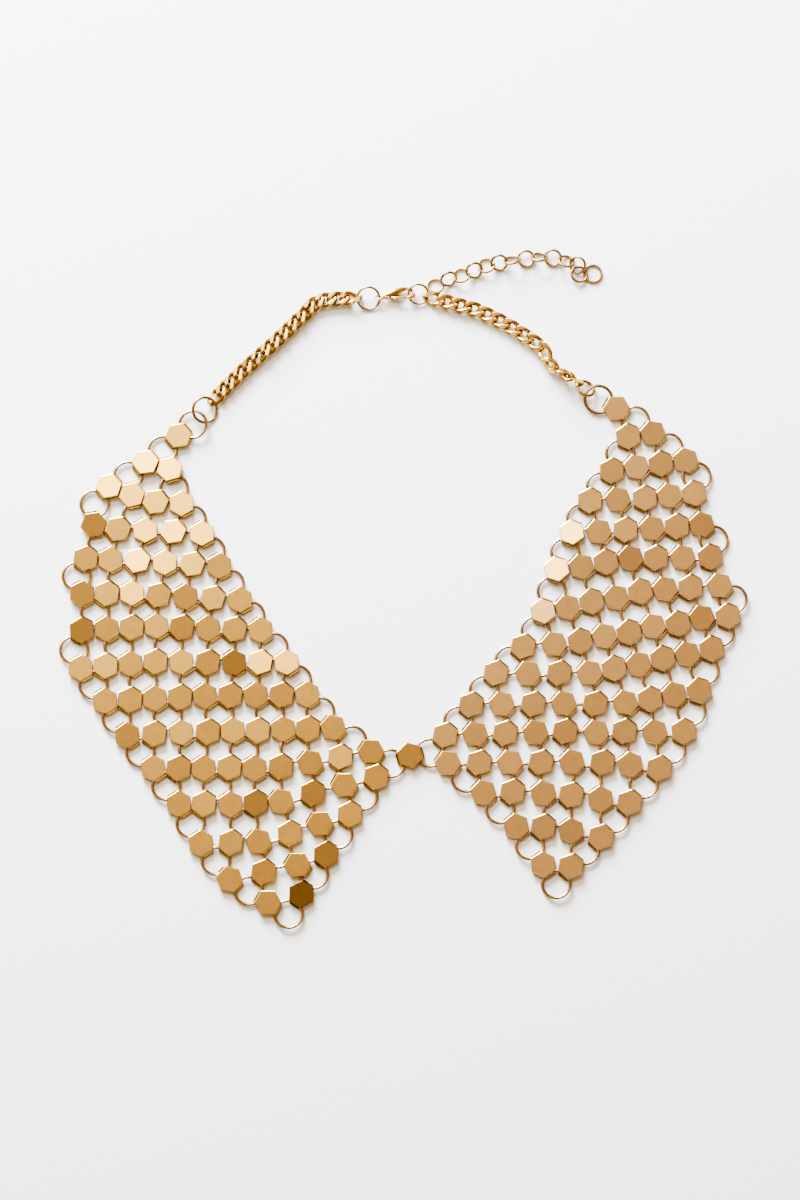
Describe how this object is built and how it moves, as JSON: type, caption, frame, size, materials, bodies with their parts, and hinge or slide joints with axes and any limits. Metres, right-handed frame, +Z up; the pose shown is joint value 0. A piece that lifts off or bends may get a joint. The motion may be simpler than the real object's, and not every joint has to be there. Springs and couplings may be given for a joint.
{
  "type": "bib necklace",
  "caption": "Bib necklace of gold hexagonal plates on wire rings, with curb chains, a lobster clasp and an extender chain, laid flat",
  "frame": {"origin": "the middle of the whole outline, on the surface that the necklace lies on", "axes": "+Z up off the surface, +Y from the bib's points to the clasp, +X to the right as seen from above"},
  "size_m": [0.2292, 0.2332, 0.0039],
  "materials": {
    "satin_gold": "satin, gold plated",
    "polished_gold": "polished, gold plated"
  },
  "bodies": {
    "necklace": {"left_mesh_wing": "satin_gold", "right_mesh_wing": "satin_gold", "centre_plate": "satin_gold", "left_top_ring": "polished_gold", "right_top_ring": "polished_gold", "left_curb_chain": "polished_gold", "right_curb_chain": "polished_gold", "clasp_eye_ring": "polished_gold", "clasp_body": "polished_gold", "tongue_ring": "polished_gold", "extender_chain": "polished_gold", "extender_end_ring": "polished_gold"},
    "lever": {"clasp_lever": "polished_gold"}
  },
  "joints": [
    {"name": "clasp_lever_hinge", "type": "hinge", "parent": "necklace", "child": "lever", "pos_m": [-0.00494, 0.1001, 0.00187], "axis": [-0.056, 0.6403, 0.766], "range_deg": [0, 12], "stiffness_Nm_per_rad": 0.01, "springref_deg": -20.05}
  ]
}
